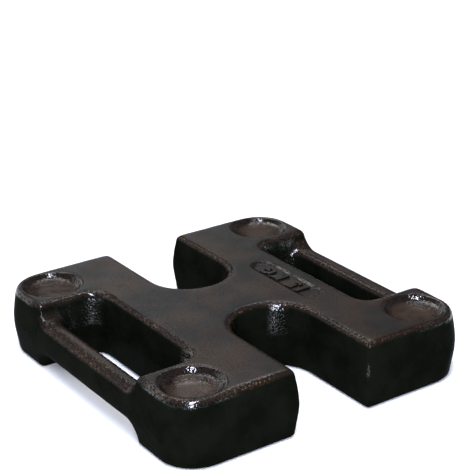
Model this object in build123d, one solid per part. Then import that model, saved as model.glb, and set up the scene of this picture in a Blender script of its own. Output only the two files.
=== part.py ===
from build123d import *
import math
import os

os.makedirs("parts", exist_ok=True)

# One iron casting: a square plate with a leg notch in the front and in the back, and a hand
# hole in each side that leaves a carrying bar outside it. +X runs to the right bar, +Y to the
# back and +Z up, from the middle of the base. The two halves of the mould part at mid height,
# and every wall leans by the draft, so a plan size holds at that plane, before the iron's
# widest line is softened.
side = 254.2
height = 52.0
draft = 6.8
parting_round = 60.0
outer_corner = 27.5
mouth_edge = 1.7
top_edge = 2.1
base_edge = 2.1

# The notches are open at the end faces, each with a full round end where the leg stands.
notch_width = 56.8
bridge = 58.0

# The hand holes
hole_inner_wall = 76.6
hole_length = 129.0
hole_corner = 10.0
opening_edge = 4.4

# The bars. Their outer wall is the casting's own, up to the shoulder where the crown begins.
bar_width = 18.6
bar_height = 26.6
bar_inner_round = 6.5
bar_flat = 1.5
bar_shoulder = 9.5
bar_root = 10.5

# The four round dishes, whose walls rise from a flat floor in two slopes
dish_inset = 30.2
dish_radius = 21.3
dish_depth = 5.0
dish_floor_radius = 12.6
dish_step_radius = 17.9
dish_step_depth = 3.6

# The recess to the right of the bridge, for a mark of the weight
recess_centre = 52.2
recess_length = 76.0
recess_width = 17.5
recess_depth = 1.6
recess_edge = 0.6

half_side = side / 2
half_height = height / 2
half_bar = bar_height / 2
half_hole = hole_length / 2
lean = math.tan(math.radians(draft))
near = 0.05

# A rounding leaves at least this much of the wall that it runs along.
wall_left = 0.6
hole_width = half_side - bar_width - hole_inner_wall
root_round = min(bar_root, half_height - half_bar - wall_left, hole_width - hole_corner - wall_left)
widest_round = min(parting_round, (bar_shoulder - wall_left) / lean)


def plan():
    """Returns the outline at the parting plane, with sharp outer corners, mouths and bar ends."""
    plate = Rectangle(side, side)
    round_centre = (bridge + notch_width) / 2
    notch = Pos(0, round_centre) * Circle(notch_width / 2)
    notch += Pos(0, round_centre + side / 2) * Rectangle(notch_width, side)
    bay = Pos(hole_inner_wall + side / 2, 0) * Rectangle(side, hole_length)
    bay = fillet(bay.vertices().sort_by(Axis.X)[:2], hole_corner)
    for cut in (notch, notch.mirror(Plane.XZ), bay, bay.mirror(Plane.YZ)):
        plate -= cut
    return plate


def bar_section():
    """Returns the upper half of the right bar's section, whose crown falls off to the outer wall."""
    inner = half_side - bar_width
    inner_top = inner + half_bar * lean
    crest = inner_top + bar_inner_round * math.tan(math.radians(45 - draft / 2)) + bar_flat
    shoulder = (half_side - bar_shoulder * lean, bar_shoulder)
    edges = [
        Line((crest, half_bar), (inner_top, half_bar)),
        Line((inner_top, half_bar), (inner, 0)),
        Line((inner, 0), (half_side, 0)),
        Line((half_side, 0), shoulder),
        TangentArc((crest, half_bar), shoulder, tangent=(1, 0)),
    ]
    section = make_face(edges)
    return fillet(section.vertices().group_by(Axis.Y)[-1].sort_by(Axis.X)[0], bar_inner_round)


def on_outer_corner(edge):
    """Tells whether an edge of a half casting is an upright one at an outer corner of the plate."""
    low, high = sorted((edge @ 0, edge @ 1), key=lambda point: point.Z)
    return high.Z - low.Z > half_height - near and min(abs(low.X), abs(low.Y)) > half_side - near


def on_side_wall(edge):
    """Tells whether an edge lies on the casting's left or right wall."""
    points = [edge @ t for t in (0, 0.5, 1)]
    return all(abs(abs(point.X) - half_side + point.Z * lean) < near for point in points)


def at_bar_root(edge):
    """Tells whether an edge is where a bar runs into the end wall of its hand hole."""
    points = [edge @ t for t in (0, 0.5, 1)]
    on_end_wall = all(abs(abs(point.Y) - half_hole - point.Z * lean) < near for point in points)
    middle = points[1]
    on_bar = abs(middle.X) > half_side - bar_width - near and near < middle.Z < half_bar + near
    return on_end_wall and on_bar and not on_side_wall(edge)


def round_side_opening(edge):
    """Tells whether an edge bounds the opening that the side wall leaves above a bar."""
    middle = edge @ 0.5
    return on_side_wall(edge) and abs(middle.Y) < half_hole + half_height * lean and middle.Z > near


def on_widest_line(edge):
    """Tells whether an edge lies in the parting plane, outside the hand holes."""
    middle = edge @ 0.5
    across = hole_inner_wall - near < abs(middle.X) < half_side - bar_width + near
    in_hand_hole = across and abs(middle.Y) < half_hole + near
    return max(abs((edge @ t).Z) for t in (0, 0.5, 1)) < near and not in_hand_hole


def at_mouth(edge):
    """Tells whether an edge is an upright one at the mouth of a notch."""
    middle = edge @ 0.5
    off_notch = abs(abs(middle.X) - notch_width / 2)
    off_face = abs(abs(middle.Y) - half_side)
    stands = abs((edge @ 0).Z - (edge @ 1).Z) > near
    return stands and max(off_notch, off_face) < half_height * lean + near


def in_top(edge):
    """Tells whether an edge lies in the flat top."""
    return min((edge @ 0).Z, (edge @ 1).Z) > half_height - near


def in_base(edge):
    """Tells whether an edge lies in the base."""
    return max((edge @ 0).Z, (edge @ 1).Z) < near - half_height


def half_casting():
    """Returns one half, from the parting plane up to a flat face with sharp edges."""
    body = Part() + extrude(plan(), half_height, taper=draft)
    body = fillet(body.edges().filter_by(on_outer_corner), outer_corner)
    bar_length = hole_length + 2 * hole_corner
    bar = extrude(Plane.XZ.offset(-bar_length / 2) * bar_section(), bar_length)
    body += [bar, bar.mirror(Plane.YZ)]
    body = fillet(body.edges().filter_by(at_bar_root), root_round)
    return fillet(body.edges().filter_by(round_side_opening), opening_edge)


def with_dishes(body):
    """Sinks the four dishes into the top."""
    wall_run = (dish_radius - dish_step_radius) / dish_step_depth
    corners = [
        (0, dish_depth),
        (0, -dish_depth),
        (dish_floor_radius, -dish_depth),
        (dish_step_radius, -dish_step_depth),
        (dish_radius + dish_depth * wall_run, dish_depth),
    ]
    hollow = revolve(Plane.XZ * make_face(Polyline(corners, close=True)), Axis.Z)
    place = half_side - dish_inset
    for x in (-place, place):
        for y in (-place, place):
            body -= Pos(x, y, half_height) * hollow
    return body


def with_recess(body):
    """Sinks the recess for the mark into the top and breaks its lip."""
    recess = Rot(0, 0, 90) * SlotOverall(recess_length, recess_width)
    body -= extrude(Pos(recess_centre, 0, half_height - recess_depth) * recess, 2 * recess_depth)

    def on_lip(edge):
        middle = edge @ 0.5
        across = abs(middle.X - recess_centre) < recess_width / 2 + near
        return in_top(edge) and across and abs(middle.Y) < recess_length / 2 + near

    return chamfer(body.edges().filter_by(on_lip), recess_edge)


def casting():
    """Returns the whole casting, standing on its base."""
    half = half_casting()
    body = half + half.mirror(Plane.XY)
    body = fillet(body.edges().filter_by(on_widest_line), widest_round)
    body = chamfer(body.edges().filter_by(at_mouth), mouth_edge)
    body = chamfer(body.edges().filter_by(in_top), top_edge)
    body = chamfer(body.edges().filter_by(in_base), base_edge)
    return Pos(0, 0, half_height) * with_recess(with_dishes(body))


export_step(casting(), "parts/casting.step")
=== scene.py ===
import math

import bmesh
import bpy
from mathutils import Matrix, Vector, noise


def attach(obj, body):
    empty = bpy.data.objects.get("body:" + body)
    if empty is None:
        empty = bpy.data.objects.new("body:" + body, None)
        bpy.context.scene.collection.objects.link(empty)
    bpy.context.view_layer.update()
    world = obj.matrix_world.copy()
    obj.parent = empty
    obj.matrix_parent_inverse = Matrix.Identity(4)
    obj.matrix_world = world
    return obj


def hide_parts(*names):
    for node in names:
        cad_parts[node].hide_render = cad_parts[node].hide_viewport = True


# A cast iron weight plate, dipped in glossy black coating, on a pale studio floor.
# Lengths are in metres.

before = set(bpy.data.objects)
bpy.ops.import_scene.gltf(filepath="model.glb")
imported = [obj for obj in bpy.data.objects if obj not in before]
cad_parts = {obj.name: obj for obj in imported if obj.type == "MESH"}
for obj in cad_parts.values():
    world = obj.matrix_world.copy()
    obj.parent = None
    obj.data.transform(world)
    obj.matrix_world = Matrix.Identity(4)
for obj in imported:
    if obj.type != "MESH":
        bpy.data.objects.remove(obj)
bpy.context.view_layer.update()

# Vertices nearer to each other than this are joined.
MERGE = 1e-6
# Faces that meet at more than this angle keep a sharp edge.
SHARP = math.radians(35)


class Value:
    """A number or a colour on its way through a shader. The operators add Math nodes."""

    def __init__(self, shader, socket):
        self.shader = shader
        self.socket = socket

    def __add__(self, other):
        return self.shader.math("ADD", self, other)

    def __radd__(self, other):
        return self.shader.math("ADD", other, self)

    def __sub__(self, other):
        return self.shader.math("SUBTRACT", self, other)

    def __rsub__(self, other):
        return self.shader.math("SUBTRACT", other, self)

    def __mul__(self, other):
        return self.shader.math("MULTIPLY", self, other)

    def __rmul__(self, other):
        return self.shader.math("MULTIPLY", other, self)


class Shader:
    """The nodes of one material or of the world."""

    def __init__(self, owner):
        owner.use_nodes = True
        self.tree = owner.node_tree
        self.tree.nodes.clear()

    def node(self, kind, settings=None, sockets=None, output=0):
        """Adds a node, sets it up, gives its sockets their values or links and returns an output."""
        node = self.tree.nodes.new(kind)
        for name, value in (settings or {}).items():
            setattr(node, name, value)
        for name, value in (sockets or {}).items():
            if isinstance(value, Value):
                self.tree.links.new(value.socket, node.inputs[name])
            else:
                node.inputs[name].default_value = value
        return Value(self, node.outputs[output]) if node.outputs else None

    def math(self, operation, first, second):
        """Returns what a Math node makes of two numbers."""
        return self.node("ShaderNodeMath", {"operation": operation}, {0: first, 1: second})

    def ramp(self, value, span):
        """Returns a smooth step of a value, from 0 at the start of a span to 1 at its end."""
        sockets = {"Value": value, "From Min": span[0], "From Max": span[1]}
        return self.node("ShaderNodeMapRange", {"interpolation_type": "SMOOTHSTEP"}, sockets)

    def noise(self, place, size, detail, roughness):
        """Returns a noise whose lumps have about the given size."""
        sockets = {"Vector": place, "Scale": 1 / size, "Detail": detail, "Roughness": roughness}
        return self.node("ShaderNodeTexNoise", {"noise_dimensions": "3D"}, sockets)

    def distance(self, place, centre):
        """Returns how far a place is from an upright line through a centre."""
        level = self.node("ShaderNodeVectorMath", {"operation": "MULTIPLY"}, {0: place, 1: (1, 1, 0)})
        ends = {0: level, 1: (*centre, 0)}
        return self.node("ShaderNodeVectorMath", {"operation": "DISTANCE"}, ends, output="Value")

    def bump(self, height, strength):
        """Returns the surface's direction where a height of BUMP_DEPTH roughens it."""
        sockets = {"Height": height, "Strength": strength, "Distance": BUMP_DEPTH}
        return self.node("ShaderNodeBump", sockets=sockets)

    def blend(self, mask, low, high):
        """Returns one colour turning into another with the mask."""
        sockets = {0: mask, 6: low, 7: high}
        return self.node("ShaderNodeMix", {"data_type": "RGBA"}, sockets, output=2)


def light_behind(level):
    """Returns the light behind a level from 0 to 1 of a picture, by the sRGB curve."""
    return level / 12.92 if level <= 0.04045 else ((level + 0.055) / 1.055) ** 2.4


def colour(red, green, blue):
    """Returns the colour that shows as the given 0 to 255 values of a picture."""
    return [light_behind(level / 255) for level in (red, green, blue)] + [1.0]


# The coating: black on the walls. The roundings and bars get a painted sheen of dark brown and
# brown specks that are both worn coating and a painted highlight. The level top is painted
# lighter grey-brown than the walls, a painted sheen, and the dishes darker inside, a painted shade.
WALL_BLACK = colour(8, 10, 6)
WALL_THIN = colour(14, 16, 11)
# The level top's grey and brown are painted lighter than the walls, a painted sheen from above.
TOP_SHEEN_GREY = colour(23, 21, 20)
TOP_SHEEN_BROWN = colour(37, 28, 22)
# The roundings get a painted sheen of dark brown, and brown specks that are both worn coating and a
# painted highlight.
EDGE_SHEEN_DARK = colour(27, 20, 16)
EDGE_WEAR_AND_HIGHLIGHT = colour(98, 74, 54)
# The dishes are painted darker inside, a painted shade in the hollows, with lighter brown patches on
# their floors.
DISH_SHADE = colour(20, 14, 11)
DISH_BROWN = colour(50, 40, 33)

# Its patterns: the size of their lumps, their detail and their roughness
DRIFTS = (0.050, 3.0, 0.6)
CLOUDS = (0.022, 4.0, 0.6)
GRAIN = (0.0020, 3.0, 0.6)
SPECKS = (0.0014, 3.0, 0.6)
LUMPS = (0.0014, 1.0, 0.5)

# Levels of a pattern, from 0 to 1, at which a finish starts and is full
BROWN_DRIFTS = (0.40, 0.62)
THIN_CLOUDS = (0.35, 0.65)
WEAR_AND_HIGHLIGHT_CLOUDS = (0.40, 0.64)
WEAR_AND_HIGHLIGHT_SPECKS = (0.55, 0.68)
DISH_CLOUDS = (0.30, 0.60)
GLOSS_CLOUDS = (0.35, 0.65)
GLOSS_SPECKS = (0.36, 0.64)
EDGE_SPECKS = (0.48, 0.60)
DULL_CLOUDS = (0.30, 0.70)
WET_SPECKS = (0.38, 0.52)

# How far a face looks up, from 0 on an upright wall to 1 on the level top, where a finish starts
# and is full
TOP_FACES = (0.86, 0.98)
OFF_WALL = (0.24, 0.80)
INTO_TOP = (0.90, 0.99)
GLOSSY_FACES = (0.94, 0.99)
OFF_LEVEL = (0.998, 0.985)
WET_DISH_FACES = (0.16, 0.30)
WET_WALL_FACES = (0.00, 0.11)
SOFT_LUMP_FACES = (0.12, 0.30)

# The middle of the dish in each quarter, and the middles of the dishes with dull floors
DISH_CENTRE = (0.0969, 0.0969)
DULL_DISHES = [(0.0969, -0.0969), (-0.0969, 0.0969), (0.0969, 0.0969)]

# Distances from the middle of a dish at which a finish starts and is full
DISH_RIM = (0.0240, 0.0222)
DISH_WET = (0.036, 0.028)
DISH_DULL = (0.0230, 0.0180)

# Places in each quarter, as (x, y) from the middle, where the coating ran and stayed wet and
# beaded, with the distances from there at which the beads start and are full
NOTCH_END = (0.0190, 0.0363)
HOLE_CORNER = (0.0795, 0.0616)
BAR_ROOT = (0.1040, 0.0640)
NOTCH_MOUTH = (0.0292, 0.1263)
LETTERS = (0.0522, 0.0150)
BEADED = {
    NOTCH_END: (0.010, 0.003),
    HOLE_CORNER: (0.017, 0.006),
    BAR_ROOT: (0.012, 0.005),
    NOTCH_MOUTH: (0.0026, 0.0008),
    LETTERS: (0.018, 0.008),
}

# The film: how wrinkled, rough and glossy it is
BUMP_DEPTH = 0.0005
FILM_WRINKLES = 0.6
FILM_ROUGHNESS = 0.25
FILM_CLOUDING = 0.10
FILM_IOR = 1.02
GLOSS_ROUGHNESS = 0.20
GLOSS_EVERYWHERE = 0.26
GLOSS_IN_SPECKS = 0.42
GLOSS_IN_CLOUDS = 0.12
GLOSS_OFF_LEVEL = 1.2
DISH_DULLING = 0.45

# The wet beads: how rough and bright they are, and how much of a surface they take
BEAD_ROUGHNESS = 0.09
BEAD_SPECULAR = 0.8
BEAD_STRENGTH = 1.0
BEAD_SOFTENING = 0.54
BEADED_ROUNDING = 0.40
BEADED_SHARE = 0.92


def coating():
    """Returns the material of the whole casting."""
    material = bpy.data.materials.new("black_coating")
    s = Shader(material)
    place = s.node("ShaderNodeTexCoord", output="Object")
    facing = s.node("ShaderNodeTexCoord", output="Normal")
    up = s.node("ShaderNodeSeparateXYZ", sockets={0: facing}, output="Z")
    quarter = s.node("ShaderNodeVectorMath", {"operation": "ABSOLUTE"}, {0: place})
    from_dish = s.distance(quarter, DISH_CENTRE)

    drifts = s.noise(place, *DRIFTS)
    clouds = s.noise(place, *CLOUDS)
    specks = s.noise(place, *SPECKS)
    top = s.ramp(up, TOP_FACES)
    in_dish = s.ramp(from_dish, DISH_RIM)
    rounding = s.ramp(up, OFF_WALL) * (1 - s.ramp(up, INTO_TOP)) * (1 - in_dish)
    # Specks where the roundings show worn coating and a painted highlight.
    wear_and_highlight = s.ramp(specks, WEAR_AND_HIGHLIGHT_SPECKS) * s.ramp(clouds, WEAR_AND_HIGHLIGHT_CLOUDS)
    dulled = sum(s.ramp(s.distance(place, centre), DISH_DULL) for centre in DULL_DISHES)

    wall = s.blend(s.ramp(clouds, THIN_CLOUDS), WALL_BLACK, WALL_THIN)
    # The level top is painted lighter than the walls, a painted sheen, with brown drifts.
    base = s.blend(top, wall, s.blend(s.ramp(drifts, BROWN_DRIFTS), TOP_SHEEN_GREY, TOP_SHEEN_BROWN))
    # Painted sheen on the roundings, then a painted highlight mixed with wear in brown specks.
    base = s.blend(rounding, base, EDGE_SHEEN_DARK)
    base = s.blend(rounding * wear_and_highlight, base, EDGE_WEAR_AND_HIGHLIGHT)
    # Painted shade inside the dishes, with lighter brown patches on their floors.
    base = s.blend(in_dish, base, s.blend(top * s.ramp(clouds, DISH_CLOUDS), DISH_SHADE, DISH_BROWN))

    gloss = GLOSS_EVERYWHERE + GLOSS_IN_SPECKS * s.ramp(specks, GLOSS_SPECKS)
    gloss = gloss + GLOSS_IN_CLOUDS * s.ramp(clouds, GLOSS_CLOUDS)
    gloss = gloss * (1 - s.ramp(up, OFF_LEVEL) * (1 - GLOSS_OFF_LEVEL * s.ramp(specks, EDGE_SPECKS)))
    film = s.node("ShaderNodeBsdfPrincipled", sockets={
        "Base Color": base,
        "Roughness": FILM_ROUGHNESS + FILM_CLOUDING * s.ramp(clouds, DULL_CLOUDS),
        "IOR": FILM_IOR,
        "Coat Weight": s.ramp(up, GLOSSY_FACES) * gloss * (1 - DISH_DULLING * dulled),
        "Coat Roughness": GLOSS_ROUGHNESS,
        "Normal": s.bump(s.noise(place, *GRAIN), FILM_WRINKLES),
    })

    lumps = s.noise(place, *LUMPS) * (1 - BEAD_SOFTENING * s.ramp(up, SOFT_LUMP_FACES))
    beads = s.node("ShaderNodeBsdfPrincipled", sockets={
        "Base Color": base,
        "Roughness": BEAD_ROUGHNESS,
        "Specular IOR Level": BEAD_SPECULAR,
        "Normal": s.bump(lumps, BEAD_STRENGTH),
    })
    wet_dish = s.ramp(from_dish, DISH_WET) * s.ramp(up, WET_DISH_FACES)
    wet = s.math("MAXIMUM", wet_dish, BEADED_ROUNDING * rounding)
    for centre, reach in BEADED.items():
        pool = s.ramp(s.distance(quarter, centre), reach) * s.ramp(up, WET_WALL_FACES)
        wet = s.math("MAXIMUM", wet, pool)
    share = BEADED_SHARE * wet * s.ramp(specks, WET_SPECKS) * (1 - top)
    surface = s.node("ShaderNodeMixShader", sockets={0: share, 1: film, 2: beads})
    s.node("ShaderNodeOutputMaterial", sockets={"Surface": surface})
    return material


def piece(name, form, material, body="root"):
    """Makes a bmesh into a smooth piece of the object that rides on a body."""
    mesh = bpy.data.meshes.new(name)
    form.to_mesh(mesh)
    form.free()
    made = bpy.data.objects.new(name, mesh)
    bpy.context.collection.objects.link(made)
    mesh.shade_smooth()
    mesh.set_sharp_from_angle(angle=SHARP)
    mesh.materials.clear()
    mesh.materials.append(material)
    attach(made, body)
    return made


# The recess for the mark: its middle, how far it reaches to each side of it, and its floor
RECESS_CENTRE = (0.0522, 0.0)
RECESS_REACH = (0.0115, 0.0415)
RECESS_FLOOR = 0.0503

# The skin is cast anew in small cells and made uneven. Its edges are rounded, those above the
# shoulder level more and then sunk in height alone. The dishes are bowled out before the last
# passes, which soften it all.
SKIN_CELL = 0.001
SKIN_SHARE = 0.42
UNEVEN_SIZE = 0.016
UNEVEN_DEPTH = 0.00022
EDGE_PASSES = 6
SHOULDER = 0.0425
SHOULDER_PASSES = 10
SAG_PASSES = 24
LAST_PASSES = 3

# A dish is a bowl and a steeper brim. Only what lies above the lowest level belongs to one.
TOP_LEVEL = 0.052
DISH_RADIUS = 0.0228
DISH_DEPTH = 0.0066
DISH_BOWL = 0.6
BOWL_POWER = 3.0
BRIM_POWER = 10.0
DISH_LOWEST = 0.0445


def recast(form):
    """Returns a form made anew from even cells, which joins and softens what it holds."""
    mesh = bpy.data.meshes.new("rough")
    form.to_mesh(mesh)
    form.free()
    rough = bpy.data.objects.new("rough", mesh)
    bpy.context.collection.objects.link(rough)
    cells = rough.modifiers.new("cells", "REMESH")
    cells.mode = "VOXEL"
    cells.voxel_size = SKIN_CELL
    bpy.context.view_layer.update()
    even = bpy.data.meshes.new_from_object(rough.evaluated_get(bpy.context.evaluated_depsgraph_get()))
    form = bmesh.new()
    form.from_mesh(even)
    bpy.data.objects.remove(rough)
    bpy.data.meshes.remove(even)
    return form


def in_recess(spot):
    """Tells whether a spot belongs to the recess, whose lip stays crisp."""
    across, along = abs(spot.x - RECESS_CENTRE[0]), abs(spot.y)
    return spot.z > DISH_LOWEST and across < RECESS_REACH[0] and along < RECESS_REACH[1]


def dish_level(reach):
    """Returns the height of a dish's bowl at a share of its radius."""
    rise = DISH_BOWL * reach ** BOWL_POWER + (1 - DISH_BOWL) * reach ** BRIM_POWER
    return TOP_LEVEL - DISH_DEPTH * (1 - rise)


def soften(form, verts, passes, sideways=True):
    """Draws vertices towards their neighbours, which rounds edges, or in height alone sinks them."""
    for _ in range(passes):
        bmesh.ops.smooth_vert(
            form, verts=verts, factor=0.5, use_axis_x=sideways, use_axis_y=sideways, use_axis_z=True
        )


def casting_skin(material):
    """Puts a skin over the casting, with soft edges, bowled dishes and an uneven surface."""
    form = bmesh.new()
    form.from_mesh(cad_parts["casting"].data)
    bmesh.ops.remove_doubles(form, verts=form.verts, dist=MERGE)
    form = recast(form)
    form.normal_update()
    for vert in form.verts:
        lump = 0.5 + 0.5 * noise.noise(vert.co / UNEVEN_SIZE)
        vert.co -= vert.normal * UNEVEN_DEPTH * lump
    softer = [vert for vert in form.verts if not in_recess(vert.co)]
    soften(form, softer, EDGE_PASSES)
    shoulders = [vert for vert in softer if vert.co.z > SHOULDER]
    soften(form, shoulders, SHOULDER_PASSES)
    soften(form, shoulders, SAG_PASSES, sideways=False)
    for vert in form.verts:
        spot = vert.co
        reach = (Vector((abs(spot.x), abs(spot.y))) - Vector(DISH_CENTRE)).length / DISH_RADIUS
        if reach < 1 and spot.z > DISH_LOWEST:
            spot.z = min(dish_level(reach), spot.z)
    soften(form, form.verts[:], LAST_PASSES)
    skin = piece("iron_body", form, material)
    fewer = skin.modifiers.new("fewer", "DECIMATE")
    fewer.ratio = SKIN_SHARE
    skin.modifiers.new("flats", "WEIGHTED_NORMAL")
    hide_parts("casting")


# The raised mark of the weight in its recess, read from the right side
MARK_TEXT = "15 KG"
MARK_HEIGHT = 0.0158
MARK_SPACING = 1.30
MARK_BOLDNESS = 0.0005
MARK_RISE = 0.0011
MARK_SOFTNESS = 0.0003


def mark(material):
    """Makes the raised figures and letters in the recess."""
    words = bpy.data.curves.new("mark", "FONT")
    words.body = MARK_TEXT
    words.align_x = "CENTER"
    words.align_y = "CENTER"
    words.size = MARK_HEIGHT
    words.space_character = MARK_SPACING
    words.offset = MARK_BOLDNESS
    words.extrude = MARK_RISE / 2
    words.bevel_depth = MARK_SOFTNESS
    words.bevel_resolution = 2
    words.resolution_u = 4
    text = bpy.data.objects.new("mark", words)
    bpy.context.collection.objects.link(text)
    bpy.context.view_layer.update()
    mesh = bpy.data.meshes.new_from_object(text)
    bpy.data.objects.remove(text)
    form = bmesh.new()
    form.from_mesh(mesh)
    bmesh.ops.remove_doubles(form, verts=form.verts, dist=MERGE)
    into_recess = Matrix.Translation((*RECESS_CENTRE, RECESS_FLOOR + MARK_RISE / 2))
    turned = Matrix.Rotation(math.pi / 2, 4, "Z")
    bmesh.ops.transform(form, matrix=into_recess @ turned, verts=form.verts)
    figures = piece("weight_mark", form, material)
    figures.modifiers.new("flats", "WEIGHTED_NORMAL")


FLOOR_WHITE = (0.93, 0.93, 0.93, 1.0)
FLOOR_RADIUS = 9.0
FLOOR_GAP = 0.0002


def floor_paint():
    """Returns the pale floor's material."""
    material = bpy.data.materials.new("studio_floor")
    s = Shader(material)
    surface = s.node("ShaderNodeBsdfDiffuse", sockets={"Color": FLOOR_WHITE})
    s.node("ShaderNodeOutputMaterial", sockets={"Surface": surface})
    return material


def floor():
    """Lays the pale floor just under the casting."""
    form = bmesh.new()
    bmesh.ops.create_circle(form, cap_ends=True, segments=96, radius=FLOOR_RADIUS)
    bmesh.ops.translate(form, vec=(0, 0, -FLOOR_GAP), verts=form.verts)
    mesh = bpy.data.meshes.new("floor")
    form.to_mesh(mesh)
    form.free()
    made = bpy.data.objects.new("floor", mesh)
    bpy.context.collection.objects.link(made)
    mesh.materials.append(floor_paint())


# A direction is given from the object outwards. At azimuth 0 it points along -Y.
CAMERA_AZIMUTH = math.radians(-34.666)
CAMERA_ELEVATION = math.radians(22.283)
CAMERA_ROLL = math.radians(-0.728)
CAMERA_DISTANCE = 1.24893
CAMERA_TARGET = Vector((0.106759, 0.145895, 0.026))
FOCAL_PIXELS = 1441.51
IMAGE_PIXELS = 470


def towards(azimuth, elevation):
    """Returns the unit vector that points to an azimuth and elevation."""
    level = math.cos(elevation)
    return Vector((math.sin(azimuth) * level, -math.cos(azimuth) * level, math.sin(elevation)))


def camera():
    """Places the camera at the photograph's viewing angle."""
    data = bpy.data.cameras.new("camera")
    data.sensor_width = 36.0
    data.lens = FOCAL_PIXELS / IMAGE_PIXELS * data.sensor_width
    data.clip_end = 30.0
    made = bpy.data.objects.new("camera", data)
    bpy.context.collection.objects.link(made)
    back = towards(CAMERA_AZIMUTH, CAMERA_ELEVATION)
    right = Vector((0, 0, 1)).cross(back).normalized()
    level = Matrix((right, back.cross(right), back)).transposed().to_4x4()
    place = Matrix.Translation(CAMERA_TARGET + CAMERA_DISTANCE * back)
    made.matrix_world = place @ level @ Matrix.Rotation(CAMERA_ROLL, 4, "Z")
    bpy.context.scene.camera = made


# The strip lamp's light is a little blue.
STRIP_TINT = (0.80, 0.84, 1.0)


def area_lamp(name, azimuth, elevation, distance, size, power):
    """Hangs a soft lamp of some width and height that points at the object."""
    data = bpy.data.lights.new(name, "AREA")
    data.shape = "RECTANGLE"
    data.size, data.size_y = size
    data.energy = power
    made = bpy.data.objects.new(name, data)
    bpy.context.collection.objects.link(made)
    away = towards(math.radians(azimuth), math.radians(elevation))
    made.rotation_mode = "QUATERNION"
    made.rotation_quaternion = away.to_track_quat("Z", "Y")
    made.location = away * distance
    return made


# The sky comes up from dim to full by the cosine of the angle to its bright way, and goes down
# to dim again above a height, which is the sine of the elevation.
SKY_AZIMUTH = math.radians(200)
SKY_ELEVATION = math.radians(5)
SKY_DIM = 0.17
SKY_NEAR_WAY = (0.41, 0.76)
SKY_HEIGHT = (0.64, 0.50)


def sky():
    """Lights the studio from a dome that is bright low down behind the object and dim elsewhere."""
    world = bpy.data.worlds.new("studio")
    bpy.context.scene.world = world
    s = Shader(world)
    direction = s.node("ShaderNodeTexCoord", output="Generated")
    ways = {0: direction, 1: towards(SKY_AZIMUTH, SKY_ELEVATION)}
    near_way = s.node("ShaderNodeVectorMath", {"operation": "DOT_PRODUCT"}, ways, output="Value")
    height = s.node("ShaderNodeSeparateXYZ", sockets={0: direction}, output="Z")
    bright = s.ramp(near_way, SKY_NEAR_WAY) * s.ramp(height, SKY_HEIGHT)
    level = SKY_DIM + (1 - SKY_DIM) * bright
    light = s.node("ShaderNodeBackground", sockets={"Color": (1, 1, 1, 1), "Strength": level})
    s.node("ShaderNodeOutputWorld", sockets={"Surface": light})


iron = coating()
casting_skin(iron)
mark(iron)
floor()
camera()
sky()
area_lamp("soft_box", azimuth=160, elevation=60, distance=2.2, size=(1.6, 1.6), power=31)
strip = area_lamp("strip_lamp", azimuth=-36, elevation=43, distance=1.7, size=(0.10, 2.8), power=78)
strip.data.color = STRIP_TINT

bpy.context.scene.view_settings.view_transform = "Standard"
